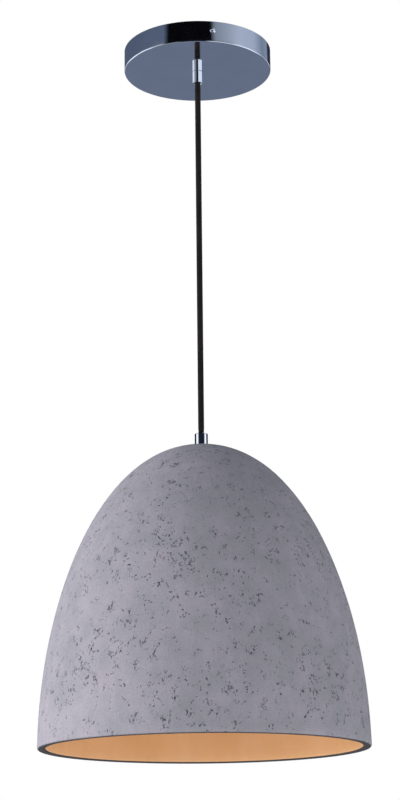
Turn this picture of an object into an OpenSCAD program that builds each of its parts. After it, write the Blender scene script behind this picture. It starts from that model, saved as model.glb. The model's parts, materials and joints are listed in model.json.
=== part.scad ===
// Pendant ceiling light: a cast cement bell shade on a textile cord under a round chrome canopy.
// Millimetres. The origin is the centre of the ceiling plane, +Z is up, and the light hangs below it.
// Every height is a Z value, so heights below the ceiling are negative.

/* [Canopy] */
// Outside diameter of the canopy
canopy_d = 166.5; // [160:0.5:175]
// Height of the canopy below the ceiling
canopy_h = 25; // [25:0.5:30]
// Thickness of the canopy's sheet steel
canopy_wall = 1; // [0.8:0.1:1.4]
// Radius of the canopy's lower outer edge
canopy_edge_r = 1.6; // [1.5:0.1:3]
// Distance of the side screws below the ceiling
side_screw_drop = 11; // [10:0.5:13]

/* [Ceiling strap] */
// Width of the steel strap
strap_w = 14; // [13:0.5:18]
// Thickness of the steel strap
strap_t = 2; // [1.5:0.1:2.5]
// Distance between the centres of the two outlet-box slots
slot_pitch = 79.4; // [74:0.1:86]
// Overall length of each slot
slot_l = 14; // [10:0.5:18]
// Width of each slot
slot_w = 4.4; // [4:0.1:5]

/* [Cord] */
// Diameter of the textile cord
cord_d = 6.5; // [6:0.1:6.8]
// Height from the top of the shade to the underside of the canopy
cord_drop = 439; // [300:1:900]
// Diameter of the chrome cord grip under the canopy
canopy_grip_d = 12; // [11.8:0.1:14]
// Length of the chrome cord grip under the canopy
canopy_grip_l = 14; // [14:0.5:20]
// Diameter of the chrome cord grip on the shade
shade_grip_d = 14.3; // [12:0.1:16]
// Length of the chrome cord grip on the shade
shade_grip_l = 13.5; // [13:0.5:20]

/* [Shade] */
// Outside diameter of the shade at its rim
shade_d = 350; // [320:1:400]
// Height of the shade
shade_h = 326; // [300:1:360]
// Wall thickness at the rim
shade_wall = 9.3; // [8:0.1:11]
// Thickness of the crown over the inner seat
shade_crown = 12; // [11:0.5:14]
// How square the shoulder is across the radius; 2 is an ellipse
shoulder_radial = 2.14; // [2:0.01:2.4]
// How square the shoulder is along the height; 2 is an ellipse
shoulder_axial = 1.9; // [1.8:0.01:2.2]
// Radius of the rim's outer edge
rim_outer_r = 2; // [1:0.1:3]
// Radius of the rim's inner edge
rim_inner_r = 2.8; // [1:0.1:4]

/* [Lamp] */
// Pitch of the lamp thread
thread_pitch = 3.629; // [3.6:0.001:3.7]
// Mean radius of the lamp cap's rolled thread
cap_thread_r = 12.72; // [12.5:0.01:12.8]
// Height of the rolled thread's wave on each side of its mean radius
thread_wave = 0.4; // [0.3:0.01:0.45]
// Radial clearance between the lamp cap and the screw shell
thread_gap = 0.36; // [0.3:0.01:0.4]
// Widest diameter of the bulb
bulb_d = 60; // [50:1:70]

/* [Hidden] */

// Heights that the driving dimensions settle
canopy_z = -canopy_h;
crown_z = canopy_z - cord_drop;
rim_z = crown_z - shade_h;
mouth_z = canopy_z - canopy_grip_l;
seat_trim = 0.3;
top_seat_z = crown_z - seat_trim;
top_gasket_t = 0.8;
grip_base_z = top_seat_z + top_gasket_t;
grip_top_z = grip_base_z + shade_grip_l;
inner_seat_z = crown_z - shade_crown;

// Cord: it leaves each grip straight for a short way and bends at a ball
cord_r = cord_d / 2;
straight_out = 3;
bend_top_z = mouth_z - straight_out;
bend_bottom_z = grip_top_z + straight_out;
cord_middle_z = (bend_top_z + bend_bottom_z) / 2;
bend_r = cord_r - 0.05;
bend_gap = 0.3;

// Threaded tubes, nuts and bores that carry the cord through the canopy and the shade
nipple_r = 5;
nipple_bore_r = 3.7;
nipple_hole_r = 5.2;
thread_fit = 0.05;
nut_across = 14;
grip_bore_r = cord_r + 0.35;
grip_flare_r = cord_r + 1.15;
grip_flare_l = 1.2;
grip_thread_l = 7.5;
grip_chamfer = 0.5;
grub_r = 1.5;
canopy_grub_z = mouth_z + 4;
shade_grub_z = grip_top_z - 4;

// Inside of the canopy
canopy_r = canopy_d / 2;
floor_z = canopy_z + canopy_wall;
lock_washer_t = 0.8;
lock_nut_t = 3;
canopy_nipple_top_z = floor_z + lock_washer_t + lock_nut_t + 4;
canopy_nipple_low_z = canopy_z - grip_thread_l + 0.5;
tail_top_z = -13;
core_r = 1.1;
core_offset = 1.3;
side_hole_r = 2.2;
side_shank_r = 1.95;
side_thread_r = 2;
strap_reach = canopy_r - canopy_wall - 0.6;
tab_low_z = -side_screw_drop - 6;
earth_y = 20;
connector_x = 22;
connector_l = 22;
connector_y = [25, 8, -8];
connector_z = -12;

// Inside of the shade
inner_gasket_t = 1.5;
clamp_washer_t = 2;
shade_nut_t = 4;
washer_z = inner_seat_z - inner_gasket_t;
nut_z = washer_z - clamp_washer_t;
cap_top_z = nut_z - shade_nut_t - 1;
cap_neck_l = 7.5;
cap_low_z = cap_top_z - 23.5;
shade_nipple_low_z = cap_top_z - cap_neck_l + 1;
holder_r = 19.5;
holder_wall = 2;
holder_low_z = cap_low_z - 36;
disc_t = 6.5;
disc_low_z = cap_low_z - disc_t;
shell_wall = 0.5;
shell_low_z = disc_low_z - 26.5;
shell_high_z = disc_low_z - 0.5;
tail_low_z = shade_nipple_low_z - 2;
terminal_y = 10;
tongue_z = disc_low_z - 2.5;

// Lamp, with its thread in step with the shell's
tip_z = tongue_z - 0.3;
bulb_neck_z = holder_low_z - 2;
bulb_l = 109;
bulb_r = bulb_d / 2;
bulb_centre_z = tip_z - bulb_l + bulb_r;
bulb_neck_r = 13.4;
glass_t = 1;
cap_thread_high_z = tip_z - 5.7;
cap_thread_low_z = bulb_neck_z + 1.5;
cap_wall = 0.4;

// Facets
round_fn = 96;
shade_fn = 180;
turn_steps = 30;
pitch_steps = 6;

// Routes of the leads inside the canopy: live and neutral leave the cord's cut end, earth leaves its
// terminal, and each ends in a connector
live_route = [[0.4, 1.3, -13], [0.4, 1.3, -11.5], [1.5, 2, -9.5], [5, 3.5, -8.5], [10, 5.5, -8.8],
    [16, 7.4, -10.5], [22, 8, -11.8], [28, 8, -12]];
neutral_route = [[0.4, -1.3, -13], [0.4, -1.3, -11.5], [1.5, -2, -9.5], [5, -3.5, -8.5],
    [10, -5.5, -8.8], [16, -7.4, -10.5], [22, -8, -11.8], [28, -8, -12]];
earth_route = [[10.5, 20, -4.2], [11.3, 20, -4.2], [13, 20.4, -4.8], [15, 21.5, -6.5],
    [18, 23.4, -9.5], [22, 24.8, -11.6], [28, 25, -12]];

// Profile functions: radius of a bell of the shade's shape at one point of its quarter curve
function bell_r(radius, u) = radius * pow(sin(u), 2 / shoulder_radial);
function bell_h(height, u) = height * pow(cos(u), 2 / shoulder_axial);
function bell_curve(radius, height, low) = [
    for (u = [90:-2.5:0]) if (bell_h(height, u) > low) [bell_r(radius, u), bell_h(height, u)]
];
function bulb_neck(t) = bulb_neck_r + (bulb_r - bulb_neck_r) * (1 - cos(180 * t)) / 2;

// Radius of the rolled lamp thread, a right-handed wave round the axis
function thread_r(mean, z, turn) = mean + thread_wave * cos(360 * z / thread_pitch - turn);

module tube(outer_r, inner_r, low_z, high_z) {
    translate([0, 0, low_z])
        difference() {
            cylinder(r = outer_r, h = high_z - low_z, $fn = round_fn);
            translate([0, 0, -1]) cylinder(r = inner_r, h = high_z - low_z + 2, $fn = round_fn);
        }
}

module rod(r, low_z, high_z) {
    translate([0, 0, low_z]) cylinder(r = r, h = high_z - low_z, $fn = round_fn);
}

module hex_nut(across, bore_r, low_z, high_z) {
    translate([0, 0, low_z])
        difference() {
            cylinder(d = across / cos(30), h = high_z - low_z, $fn = 6);
            translate([0, 0, -1]) cylinder(r = bore_r, h = high_z - low_z + 2, $fn = round_fn);
        }
}

// A straight length of cord whose ends are hollowed to clear the balls that it bends round
module cord_length(low_z, high_z, balls) {
    difference() {
        rod(cord_r, low_z, high_z);
        for (ball_z = balls) translate([0, 0, ball_z]) sphere(r = bend_r + bend_gap, $fn = round_fn);
    }
}

// A turned cord grip: threaded for the nipple at its base, bored for the cord, flared at its mouth
module cord_grip(outer_r, length, grub_from_mouth) {
    difference() {
        union() {
            cylinder(r = outer_r, h = length - grip_chamfer, $fn = round_fn);
            translate([0, 0, length - grip_chamfer])
                cylinder(r1 = outer_r, r2 = outer_r - grip_chamfer, h = grip_chamfer, $fn = round_fn);
        }
        translate([0, 0, -1]) cylinder(r = nipple_r + thread_fit, h = grip_thread_l + 1, $fn = round_fn);
        cylinder(r = grip_bore_r, h = length + 1, $fn = round_fn);
        translate([0, 0, length - grip_flare_l])
            cylinder(r1 = grip_bore_r, r2 = grip_flare_r, h = grip_flare_l + 0.01, $fn = round_fn);
        translate([0, 0, length - grub_from_mouth])
            rotate([-90, 0, 0]) cylinder(r = grub_r, h = outer_r + 1, $fn = round_fn);
    }
}

// A headless grub screw along +Y, its slot outwards, its point on the cord
module grub_screw(z, outer_r) {
    difference() {
        translate([0, cord_r + 0.02, z]) rotate([-90, 0, 0])
            cylinder(r = grub_r - 0.05, h = outer_r - 0.4 - cord_r, $fn = round_fn);
        translate([-grub_r, outer_r - 1.1, z - 0.25]) cube([2 * grub_r, 2, 0.5]);
    }
}

// A round wire swept along a list of points, with flat ends
module wire(route, r, sides) {
    last = len(route) - 1;
    function along(i) = route[min(i + 1, last)] - route[max(i - 1, 0)];
    function unit(v) = v / norm(v);
    function side(i) = unit(cross(unit(along(i)), [0.03, 1, 0.11]));
    function up(i) = cross(side(i), unit(along(i)));
    rings = [
        for (i = [0:last]) for (k = [0:sides - 1])
            route[i] + r * (side(i) * cos(360 * k / sides) + up(i) * sin(360 * k / sides))
    ];
    walls = [
        for (i = [0:last - 1]) for (k = [0:sides - 1])
            let (next = (k + 1) % sides)
                [i * sides + k, i * sides + next, (i + 1) * sides + next, (i + 1) * sides + k]
    ];
    start = [[for (k = [sides - 1:-1:0]) k]];
    end = [[for (k = [0:sides - 1]) last * sides + k]];
    polyhedron(points = rings, faces = concat(start, walls, end), convexity = 4);
}

// A thin rolled shell with a helical thread on both of its faces
module threaded_shell(mean, wall, low_z, high_z) {
    levels = ceil((high_z - low_z) / thread_pitch * pitch_steps);
    step = (high_z - low_z) / levels;
    n = turn_steps;
    function level_z(j) = low_z + j * step;
    function ring(offset) = [
        for (j = [0:levels]) for (k = [0:n - 1])
            let (turn = 360 * k / n, r = thread_r(mean, level_z(j), turn) + offset)
                [r * cos(turn), r * sin(turn), level_z(j)]
    ];
    inner = (levels + 1) * n;
    function at(j, k) = j * n + k % n;
    outside = [
        for (j = [0:levels - 1]) for (k = [0:n - 1])
            each [[at(j, k), at(j + 1, k), at(j + 1, k + 1)], [at(j, k), at(j + 1, k + 1), at(j, k + 1)]]
    ];
    inside = [for (f = outside) [inner + f[0], inner + f[2], inner + f[1]]];
    low_end = [
        for (k = [0:n - 1])
            each [[at(0, k), at(0, k + 1), inner + at(0, k + 1)], [at(0, k), inner + at(0, k + 1), inner + at(0, k)]]
    ];
    high_end = [
        for (k = [0:n - 1])
            each [[at(levels, k), inner + at(levels, k + 1), at(levels, k + 1)],
                [at(levels, k), inner + at(levels, k), inner + at(levels, k + 1)]]
    ];
    polyhedron(points = concat(ring(wall), ring(0)), faces = concat(outside, inside, low_end, high_end),
        convexity = 8);
}

// ---- Pieces fixed to the ceiling ----

module mounting_strap() color("#b9bcc0") difference() {
    union() {
        translate([-strap_w / 2, -strap_reach, -strap_t]) cube([strap_w, 2 * strap_reach, strap_t]);
        for (s = [-1, 1])
            translate([-strap_w / 2, s > 0 ? strap_reach - strap_t : -strap_reach, tab_low_z])
                cube([strap_w, strap_t, -tab_low_z]);
    }
    translate([0, 0, -strap_t - 1]) cylinder(r = 5.25, h = strap_t + 2, $fn = round_fn);
    translate([0, earth_y, -strap_t - 1]) cylinder(r = 2.05, h = strap_t + 2, $fn = round_fn);
    for (s = [-1, 1]) {
        for (e = [-1, 1])
            translate([0, s * slot_pitch / 2 + e * (slot_l - slot_w) / 2, -strap_t - 1])
                cylinder(d = slot_w, h = strap_t + 2, $fn = round_fn);
        translate([-slot_w / 2, s * slot_pitch / 2 - (slot_l - slot_w) / 2, -strap_t - 1])
            cube([slot_w, slot_l - slot_w, strap_t + 2]);
        translate([0, s > 0 ? strap_reach - strap_t - 1 : -strap_reach - 1, -side_screw_drop])
            rotate([-90, 0, 0]) cylinder(r = side_thread_r, h = strap_t + 2, $fn = round_fn);
    }
}

module earth_screw() color("#3f8f52") {
    terminal_t = 0.8;
    head_t = 3;
    translate([0, earth_y, 0]) {
        difference() {
            union() {
                rod(2, -strap_t - terminal_t, -0.1);
                translate([0, 0, -strap_t - terminal_t - head_t])
                    cylinder(d = 8 / cos(30), h = head_t, $fn = 6);
            }
            translate([-5, -0.5, -strap_t - terminal_t - head_t - 1]) cube([10, 1, 2]);
        }
    }
}

module earth_terminal() color("#d8c27a") {
    translate([0, earth_y, 0]) {
        difference() {
            union() {
                rod(4.2, -strap_t - 0.8, -strap_t);
                translate([3, -1.6, -strap_t - 0.8]) cube([6, 3.2, 0.8]);
            }
            rod(2.05, -strap_t - 2, -strap_t + 1);
        }
        translate([5.2, 0, -4.2]) rotate([0, 90, 0]) cylinder(r = 1.6, h = 5.3, $fn = round_fn);
    }
}

module canopy() color("#c9ced6") difference() {
    rotate_extrude($fn = shade_fn) difference() {
        union() {
            translate([0, canopy_z]) square([canopy_r - canopy_edge_r, canopy_edge_r]);
            translate([0, canopy_z + canopy_edge_r]) square([canopy_r, canopy_h - canopy_edge_r]);
            intersection() {
                translate([canopy_r - canopy_edge_r, canopy_z + canopy_edge_r])
                    circle(r = canopy_edge_r, $fn = round_fn);
                translate([0, canopy_z]) square([canopy_r, canopy_h]);
            }
        }
        difference() {
            translate([-1, floor_z]) square([canopy_r - canopy_wall + 1, canopy_h]);
            difference() {
                inner_edge_r = canopy_edge_r - canopy_wall;
                translate([canopy_r - canopy_wall - inner_edge_r, floor_z])
                    square([inner_edge_r, inner_edge_r]);
                translate([canopy_r - canopy_wall - inner_edge_r, floor_z + inner_edge_r])
                    circle(r = inner_edge_r, $fn = round_fn);
            }
        }
    }
    translate([0, 0, canopy_z - 1]) cylinder(r = nipple_hole_r, h = canopy_wall + 2, $fn = round_fn);
    for (s = [-1, 1])
        translate([0, s > 0 ? canopy_r - 5 : -canopy_r - 5, -side_screw_drop])
            rotate([-90, 0, 0]) cylinder(r = side_hole_r, h = 10, $fn = round_fn);
}

module canopy_side_screws() color("#c9ced6") {
    head_r = 3.2;
    dome_r = 3.6;
    dome_sink = dome_r - 2.3;
    for (turn = [0, 180]) rotate([0, 0, turn]) translate([0, -canopy_r, -side_screw_drop]) rotate([90, 0, 0]) {
        difference() {
            intersection() {
                translate([0, 0, -dome_sink]) sphere(r = dome_r, $fn = round_fn);
                cylinder(r = head_r, h = 4, $fn = round_fn);
            }
            translate([-4, -0.4, 1.4]) cube([8, 0.8, 2]);
        }
        translate([0, 0, -6]) cylinder(r = side_shank_r, h = 6.2, $fn = round_fn);
    }
}

module canopy_cord_grip() color("#c9ced6")
    translate([0, 0, canopy_z]) mirror([0, 0, 1])
        cord_grip(canopy_grip_d / 2, canopy_grip_l, canopy_grub_z - mouth_z);

module canopy_grip_screw() color("#8d9095") grub_screw(canopy_grub_z, canopy_grip_d / 2);

module canopy_nipple() color("#b9bcc0")
    tube(nipple_r, nipple_bore_r, canopy_nipple_low_z, canopy_nipple_top_z);

module canopy_lock_washer() color("#b9bcc0") difference() {
    tube(8.5, nipple_hole_r, floor_z, floor_z + lock_washer_t);
    translate([0, -0.8, floor_z - 1]) cube([10, 1.6, lock_washer_t + 2]);
}

module canopy_lock_nut() color("#b9bcc0")
    hex_nut(nut_across, nipple_r + thread_fit, floor_z + lock_washer_t, floor_z + lock_washer_t + lock_nut_t);

module canopy_cord_tail() color("#16120f") cord_length(bend_top_z, tail_top_z, [bend_top_z]);

module live_supply_lead() color("#1b1b1b") wire(live_route, core_r, 8);

module neutral_supply_lead() color("#e8e6e0") wire(neutral_route, core_r, 8);

module earth_supply_lead() color("#3f8f52") wire(earth_route, core_r, 8);

module wire_connectors() color("#d98a3d")
    for (y = connector_y) translate([connector_x, y, connector_z]) rotate([0, 90, 0]) difference() {
        cylinder(r1 = 6.6, r2 = 4, h = connector_l, $fn = round_fn);
        translate([0, 0, -0.01]) cylinder(r1 = 5, r2 = 2.4, h = 14, $fn = round_fn);
    }

// ---- Cord ----

module cord_bend_top() color("#16120f") translate([0, 0, bend_top_z]) sphere(r = bend_r, $fn = round_fn);

module cord_upper() color("#16120f") cord_length(cord_middle_z, bend_top_z, [bend_top_z]);

module cord_lower() color("#16120f") cord_length(bend_bottom_z, cord_middle_z, [bend_bottom_z]);

module cord_bend_bottom() color("#16120f")
    translate([0, 0, bend_bottom_z]) sphere(r = bend_r, $fn = round_fn);

// ---- Shade and what clamps to it ----

module shade_cord_tail() color("#16120f") cord_length(tail_low_z, bend_bottom_z, [bend_bottom_z]);

module shade_cord_grip() color("#c9ced6")
    translate([0, 0, grip_base_z]) cord_grip(shade_grip_d / 2, shade_grip_l, grip_top_z - shade_grub_z);

module shade_grip_screw() color("#8d9095") grub_screw(shade_grub_z, shade_grip_d / 2);

module shade_top_gasket() color("#2a2a2a")
    tube(shade_grip_d / 2 - 0.2, nipple_r + thread_fit, top_seat_z, grip_base_z);

module shade_shell() color("#a5a3a8") {
    outer_r = shade_d / 2;
    inner_r = outer_r - shade_wall;
    outer_h = shade_h;
    inner_h = shade_h - shade_crown + 2;
    outer_edge = [for (t = [0:15:90])
        [outer_r - rim_outer_r + rim_outer_r * sin(t), rim_outer_r - rim_outer_r * cos(t)]];
    inner_edge = [for (t = [0:15:90])
        [inner_r + rim_inner_r - rim_inner_r * sin(t), rim_inner_r - rim_inner_r * cos(t)]];
    translate([0, 0, rim_z]) rotate_extrude($fn = shade_fn) difference() {
        intersection() {
            polygon(concat([[0, 0]], outer_edge, bell_curve(outer_r, outer_h, rim_outer_r)));
            square([outer_r + 1, outer_h - seat_trim]);
        }
        intersection() {
            polygon(concat([[0, -1], [inner_r + rim_inner_r, -1]], inner_edge,
                bell_curve(inner_r, inner_h, rim_inner_r)));
            translate([0, -1]) square([outer_r, shade_h - shade_crown + 1]);
        }
        square([nipple_hole_r, shade_h + 1]);
    }
}

module shade_nipple() color("#b9bcc0")
    tube(nipple_r, nipple_bore_r, shade_nipple_low_z, grip_base_z + grip_thread_l - 0.5);

module shade_inner_gasket() color("#2a2a2a") tube(18.5, nipple_hole_r, washer_z, inner_seat_z);

module shade_clamp_washer() color("#b9bcc0") tube(17.5, nipple_hole_r, nut_z, washer_z);

module shade_lock_nut() color("#b9bcc0")
    hex_nut(nut_across, nipple_r + thread_fit, nut_z - shade_nut_t, nut_z);

module lampholder_cap() color("#1c1c1e") {
    shoulder_z = cap_top_z - 13;
    difference() {
        rotate_extrude($fn = round_fn)
            polygon([[0, cap_top_z], [9, cap_top_z], [9.6, cap_top_z - 0.6], [9.6, cap_top_z - 5],
                [16.5, cap_top_z - 8.6], [18.8, cap_top_z - 10.6], [holder_r, shoulder_z],
                [holder_r, cap_low_z], [0, cap_low_z]]);
        translate([0, 0, cap_low_z - 1])
            cylinder(r = holder_r - holder_wall, h = shoulder_z + 1 - cap_low_z, $fn = round_fn);
        translate([0, 0, shoulder_z - 0.01])
            cylinder(r1 = holder_r - holder_wall, r2 = 12, h = cap_top_z - cap_neck_l - shoulder_z, $fn = round_fn);
        translate([0, 0, cap_low_z])
            cylinder(r = nipple_r + thread_fit, h = cap_top_z - cap_low_z + 1, $fn = round_fn);
    }
}

module lampholder_body() color("#1c1c1e") difference() {
    union() {
        rod(holder_r, holder_low_z + 1, cap_low_z);
        translate([0, 0, holder_low_z])
            cylinder(r1 = holder_r - 1, r2 = holder_r, h = 1, $fn = round_fn);
        for (i = [0:2]) rod(holder_r + 0.8, cap_low_z - 10 - 4 * i, cap_low_z - 8.4 - 4 * i);
    }
    rod(14.9, holder_low_z - 1, cap_low_z + 1);
    rod(16.3, disc_low_z, cap_low_z + 1);
}

module lampholder_insulator() color("#e9e4d8") difference() {
    rod(16.2, disc_low_z, cap_low_z);
    rod(2.05, disc_low_z - 1, cap_low_z + 1);
    for (s = [-1, 1]) translate([0, s * terminal_y, 0]) rod(1.8, disc_low_z - 1, cap_low_z + 1);
}

module screw_shell() color("#c9a24e")
    threaded_shell(cap_thread_r + thread_gap, shell_wall, shell_low_z, shell_high_z);

module centre_contact() color("#c9a24e") {
    rod(2, disc_low_z, cap_low_z);
    translate([0, 0, cap_low_z]) cylinder(r = 3, h = 0.8, $fn = round_fn);
    translate([-5, -2.5, disc_low_z - 0.6]) cube([10, 5, 0.6]);
    translate([0, 0, tongue_z])
        cylinder(r1 = 2, r2 = 3, h = disc_low_z - 0.6 - tongue_z, $fn = round_fn);
}

module terminal_screws() color("#c9a24e")
    for (s = [-1, 1]) translate([0, s * terminal_y, cap_low_z]) difference() {
        union() {
            cylinder(r = 3, h = 2.2, $fn = round_fn);
            translate([0, 0, -5]) cylinder(r = 1.75, h = 5, $fn = round_fn);
        }
        translate([-4, -0.4, 1.3]) cube([8, 0.8, 2]);
    }

// Each lamp lead runs straight out of the cord's cut end, bends outwards, and runs straight down
// to the insulator beside its terminal screw
module lamp_lead(side) {
    straight = 0.8;
    foot_y = 5.6;
    drop = tail_low_z - cap_low_z - 2 * straight;
    function bend_y(t) = core_offset + (foot_y - core_offset) * (1 - cos(180 * t)) / 2;
    wire(concat(
        [[0, side * core_offset, tail_low_z]],
        [for (t = [0:0.125:1]) [0, side * bend_y(t), tail_low_z - straight - drop * t]],
        [[0, side * foot_y, cap_low_z]]
    ), core_r, 8);
}

module live_lamp_lead() color("#1b1b1b") lamp_lead(1);

module neutral_lamp_lead() color("#e8e6e0") lamp_lead(-1);

// ---- Lamp ----

module bulb_tip_contact() color("#b9bcc0") translate([0, 0, tip_z - 1.6]) {
    cylinder(r = 4.6, h = 0.8, $fn = round_fn);
    translate([0, 0, 0.8]) cylinder(r1 = 4.6, r2 = 3.4, h = 0.8, $fn = round_fn);
}

module bulb_insulator() color("#141414") translate([0, 0, cap_thread_high_z]) difference() {
    height = tip_z - 1.6 - cap_thread_high_z;
    cylinder(r1 = 11.6, r2 = 5.2, h = height, $fn = round_fn);
    translate([0, 0, -1]) cylinder(r = 1, h = height + 2, $fn = round_fn);
}

module bulb_cap() color("#b8bbc0")
    threaded_shell(cap_thread_r - cap_wall, cap_wall, cap_thread_low_z, cap_thread_high_z);

module bulb_glass() color("#f4efe6", 0.35) rotate_extrude($fn = round_fn) {
    // The neck sits inside the cap, then swells into a sphere
    skirt_r = cap_thread_r - thread_wave - cap_wall - 0.15;
    outer = concat(
        [[skirt_r, cap_thread_high_z - 3], [skirt_r, cap_thread_low_z - 0.4], [bulb_neck_r, bulb_neck_z]],
        [for (t = [0.05:0.05:1]) [bulb_neck(t), bulb_neck_z + (bulb_centre_z - bulb_neck_z) * t]],
        [for (a = [5:5:90]) [bulb_r * cos(a), bulb_centre_z - bulb_r * sin(a)]]
    );
    inner = concat(
        [for (a = [90:-5:0]) [(bulb_r - glass_t) * cos(a), bulb_centre_z - (bulb_r - glass_t) * sin(a)]],
        [for (t = [0.95:-0.05:0]) [bulb_neck(t) - glass_t, bulb_neck_z + (bulb_centre_z - bulb_neck_z) * t]],
        [[skirt_r - glass_t, cap_thread_low_z - 0.4], [skirt_r - glass_t, cap_thread_high_z - 3]]
    );
    polygon(concat(outer, inner));
}

module bulb_stem() color("#f4efe6") {
    stem_top = cap_thread_high_z - 6;
    stem_low = bulb_centre_z + 12;
    translate([0, 0, stem_low]) cylinder(r = 2, h = stem_top - stem_low - 2, $fn = round_fn);
    translate([0, 0, stem_top - 6]) cylinder(r1 = 2, r2 = 10.7, h = 6, $fn = round_fn);
}

module bulb_filament() color("#b8bbc0") {
    low = bulb_centre_z + 2;
    stem_low = bulb_centre_z + 12;
    for (s = [-1, 1]) wire([[s * 1.3, 0, stem_low - 0.2], [s * 3, 0, stem_low - 2.5], [s * 8, 0, stem_low - 5],
        [s * 13, 0, low]], 0.35, 8);
    wire([for (x = [-13:1.3:13]) [x, 0, low - 0.5 - 0.15 * (13 - abs(x))]], 0.5, 8);
}

mounting_strap();
earth_screw();
earth_terminal();
canopy();
canopy_side_screws();
canopy_cord_grip();
canopy_grip_screw();
canopy_nipple();
canopy_lock_washer();
canopy_lock_nut();
canopy_cord_tail();
live_supply_lead();
neutral_supply_lead();
earth_supply_lead();
wire_connectors();
cord_bend_top();
cord_upper();
cord_lower();
cord_bend_bottom();
shade_cord_tail();
shade_cord_grip();
shade_grip_screw();
shade_top_gasket();
shade_shell();
shade_nipple();
shade_inner_gasket();
shade_clamp_washer();
shade_lock_nut();
lampholder_cap();
lampholder_body();
lampholder_insulator();
screw_shell();
centre_contact();
terminal_screws();
live_lamp_lead();
neutral_lamp_lead();
bulb_tip_contact();
bulb_insulator();
bulb_cap();
bulb_glass();
bulb_stem();
bulb_filament();
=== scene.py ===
"""Pendant ceiling light: a cast cement bell shade on a black textile cord under a round chrome canopy.
Metres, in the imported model's frame: the origin is the centre of the ceiling plane and +Z is up."""

import json
import math
import random

import bmesh
import bpy
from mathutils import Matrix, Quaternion, Vector, noise


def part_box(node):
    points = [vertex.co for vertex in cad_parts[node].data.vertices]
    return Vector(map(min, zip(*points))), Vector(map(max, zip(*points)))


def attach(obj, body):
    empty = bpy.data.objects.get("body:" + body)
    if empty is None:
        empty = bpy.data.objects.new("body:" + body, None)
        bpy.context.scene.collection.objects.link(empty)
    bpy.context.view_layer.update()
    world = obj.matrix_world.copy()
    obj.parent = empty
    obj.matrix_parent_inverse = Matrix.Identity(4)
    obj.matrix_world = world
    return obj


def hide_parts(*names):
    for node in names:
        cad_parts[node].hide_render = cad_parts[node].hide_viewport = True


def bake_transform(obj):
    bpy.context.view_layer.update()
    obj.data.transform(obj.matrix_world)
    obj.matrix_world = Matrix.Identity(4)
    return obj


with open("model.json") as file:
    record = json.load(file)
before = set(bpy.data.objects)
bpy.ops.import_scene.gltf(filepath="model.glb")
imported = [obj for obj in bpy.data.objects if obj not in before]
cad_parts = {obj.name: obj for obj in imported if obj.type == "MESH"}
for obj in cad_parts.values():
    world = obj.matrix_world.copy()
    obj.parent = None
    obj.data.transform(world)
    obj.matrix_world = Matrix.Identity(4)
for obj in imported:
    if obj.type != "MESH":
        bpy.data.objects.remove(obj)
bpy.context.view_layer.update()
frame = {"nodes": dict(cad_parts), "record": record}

MM = 0.001
TURN = 2 * math.pi

# ---- Places and sizes, from the frame ----


def top_of(node):
    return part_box(node)[1].z


def foot_of(node):
    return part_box(node)[0].z


def radius_of(node):
    low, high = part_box(node)
    return (high.x - low.x) / 2


SLOT_OF = {part["node"]: part["material_slot"] for part in frame["record"]["subparts"]}
BODY_OF = {
    node: body for body, nodes in frame["record"]["behaviour"]["bodies"].items() for node in nodes
}

CORD_R = radius_of("cord_upper")
CORD_TOP = top_of("cord_upper")
CORD_FOOT = foot_of("cord_lower")
CANOPY_R = radius_of("canopy")
CANOPY_FOOT = foot_of("canopy")
CANOPY_WALL = 1.0 * MM
CANOPY_EDGE = 1.6 * MM
CANOPY_GRIP_R = radius_of("canopy_cord_grip")
CANOPY_MOUTH = foot_of("canopy_cord_grip")
SHADE_GRIP_R = radius_of("shade_cord_grip")
SHADE_GRIP_FOOT = foot_of("shade_cord_grip")
SHADE_GRIP_TOP = top_of("shade_cord_grip")
SHADE_R = radius_of("shade_shell")
RIM = foot_of("shade_shell")
CROWN_FLAT = top_of("shade_shell")
INNER_SEAT = top_of("shade_inner_gasket")
SEAT_TRIM = 0.3 * MM
SHADE_WALL = 9.3 * MM
SHADE_CROWN = 12 * MM
SHADE_BORE = 5.2 * MM
SHOULDER_RADIAL = 2.14
SHOULDER_AXIAL = 1.9
RIM_OUTER = 2.0 * MM
RIM_INNER = 2.8 * MM
THREAD_PITCH = 3.629 * MM
THREAD_WAVE = 0.4 * MM

def new_object(name, data):
    made = bpy.data.objects.new(name, data)
    bpy.context.scene.collection.objects.link(made)
    return made


# ---- Camera: a little left of the front and below the rim, looking up ----

CAMERA_AZIMUTH = math.radians(-12)
CAMERA_AWAY = 2.201
CAMERA_HEIGHT = -0.994
CAMERA_PITCH = math.radians(14.82)
CAMERA_YAW = math.radians(0.025)
CAMERA_ROLL = math.radians(-0.577)
CAMERA_LENS = 93.69

TO_CAMERA = Vector((math.sin(CAMERA_AZIMUTH), -math.cos(CAMERA_AZIMUTH), 0))
CAMERA_RIGHT = Vector((math.cos(CAMERA_AZIMUTH), math.sin(CAMERA_AZIMUTH), 0))


def make_camera():
    camera = new_object("camera", bpy.data.cameras.new("camera"))
    camera.data.lens = CAMERA_LENS
    camera.data.clip_start = 0.05
    camera.data.clip_end = 60
    camera.location = TO_CAMERA * CAMERA_AWAY + Vector((0, 0, CAMERA_HEIGHT))
    ahead = -TO_CAMERA * math.cos(CAMERA_PITCH) + Vector((0, 0, math.sin(CAMERA_PITCH)))
    ahead.rotate(Quaternion((0, 0, 1), CAMERA_YAW))
    camera.rotation_mode = "QUATERNION"
    camera.rotation_quaternion = ahead.to_track_quat("-Z", "Y") @ Quaternion((0, 0, 1), CAMERA_ROLL)
    bpy.context.scene.camera = camera


make_camera()

# ---- Material helpers ----


def grey(level):
    return (level, level, level)


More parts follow.
